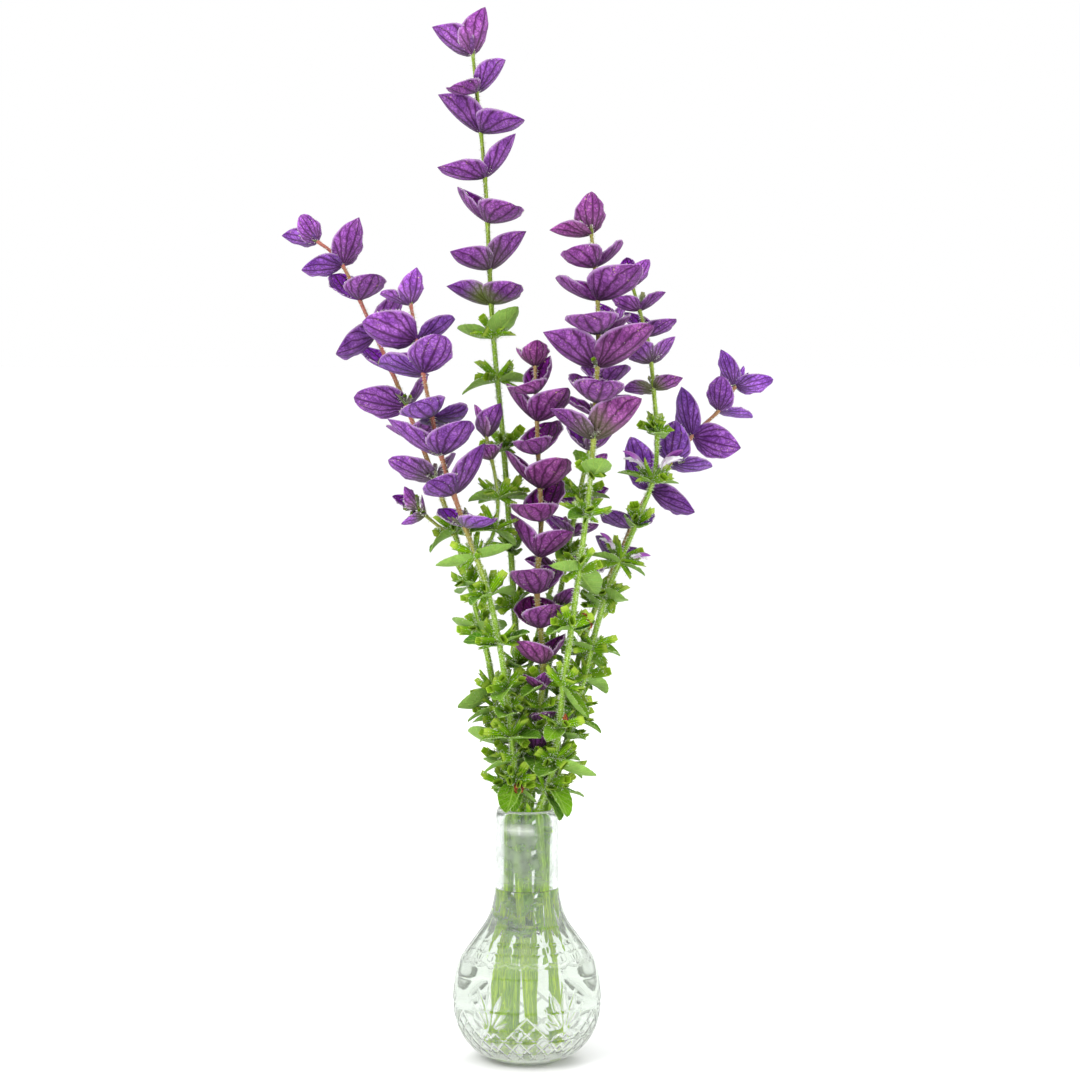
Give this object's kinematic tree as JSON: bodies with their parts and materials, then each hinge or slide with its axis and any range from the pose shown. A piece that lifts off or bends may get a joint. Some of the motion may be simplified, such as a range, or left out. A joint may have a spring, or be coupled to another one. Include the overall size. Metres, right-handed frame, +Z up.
{
  "type": "annual clary sage bunch in a bud vase",
  "caption": "Loose bunch of leafy herb stalks with violet bracts above green whorls, standing in water in a small cut-glass bud vase.",
  "frame": {"origin": "centre of the vase's flat foot, on the surface it stands on", "axes": "+Z up along the vase, -Y towards the viewer of the picture, +X to the viewer's right; the tallest stalks run up along +Z"},
  "size_m": [0.2464, 0.121, 0.522],
  "materials": {
    "cut_glass": "clear polished glass with cut flutes, fans and diamonds",
    "vase_water": "clear water",
    "sage_green": "matt green leaf and stalk with short pale hairs",
    "bract_violet": "matt violet bracts with dark veins"
  },
  "bodies": {
    "root": {"vase": "cut_glass", "water": "vase_water", "sage_1_stalk": "sage_green", "sage_1_bracts": "bract_violet", "sage_2_stalk": "sage_green", "sage_2_bracts": "bract_violet", "sage_3_stalk": "sage_green", "sage_3_bracts": "bract_violet", "sage_4_stalk": "sage_green", "sage_4_bracts": "bract_violet", "sage_5_stalk": "sage_green", "sage_5_bracts": "bract_violet", "sage_6_stalk": "sage_green", "sage_6_bracts": "bract_violet", "sage_7_stalk": "sage_green", "sage_7_bracts": "bract_violet", "sage_8_stalk": "sage_green", "sage_8_bracts": "bract_violet", "sage_9_stalk": "sage_green", "sage_9_bracts": "bract_violet", "side_shoot_1_bracts": "bract_violet", "side_shoot_2_bracts": "bract_violet"}
  },
  "joints": []
}
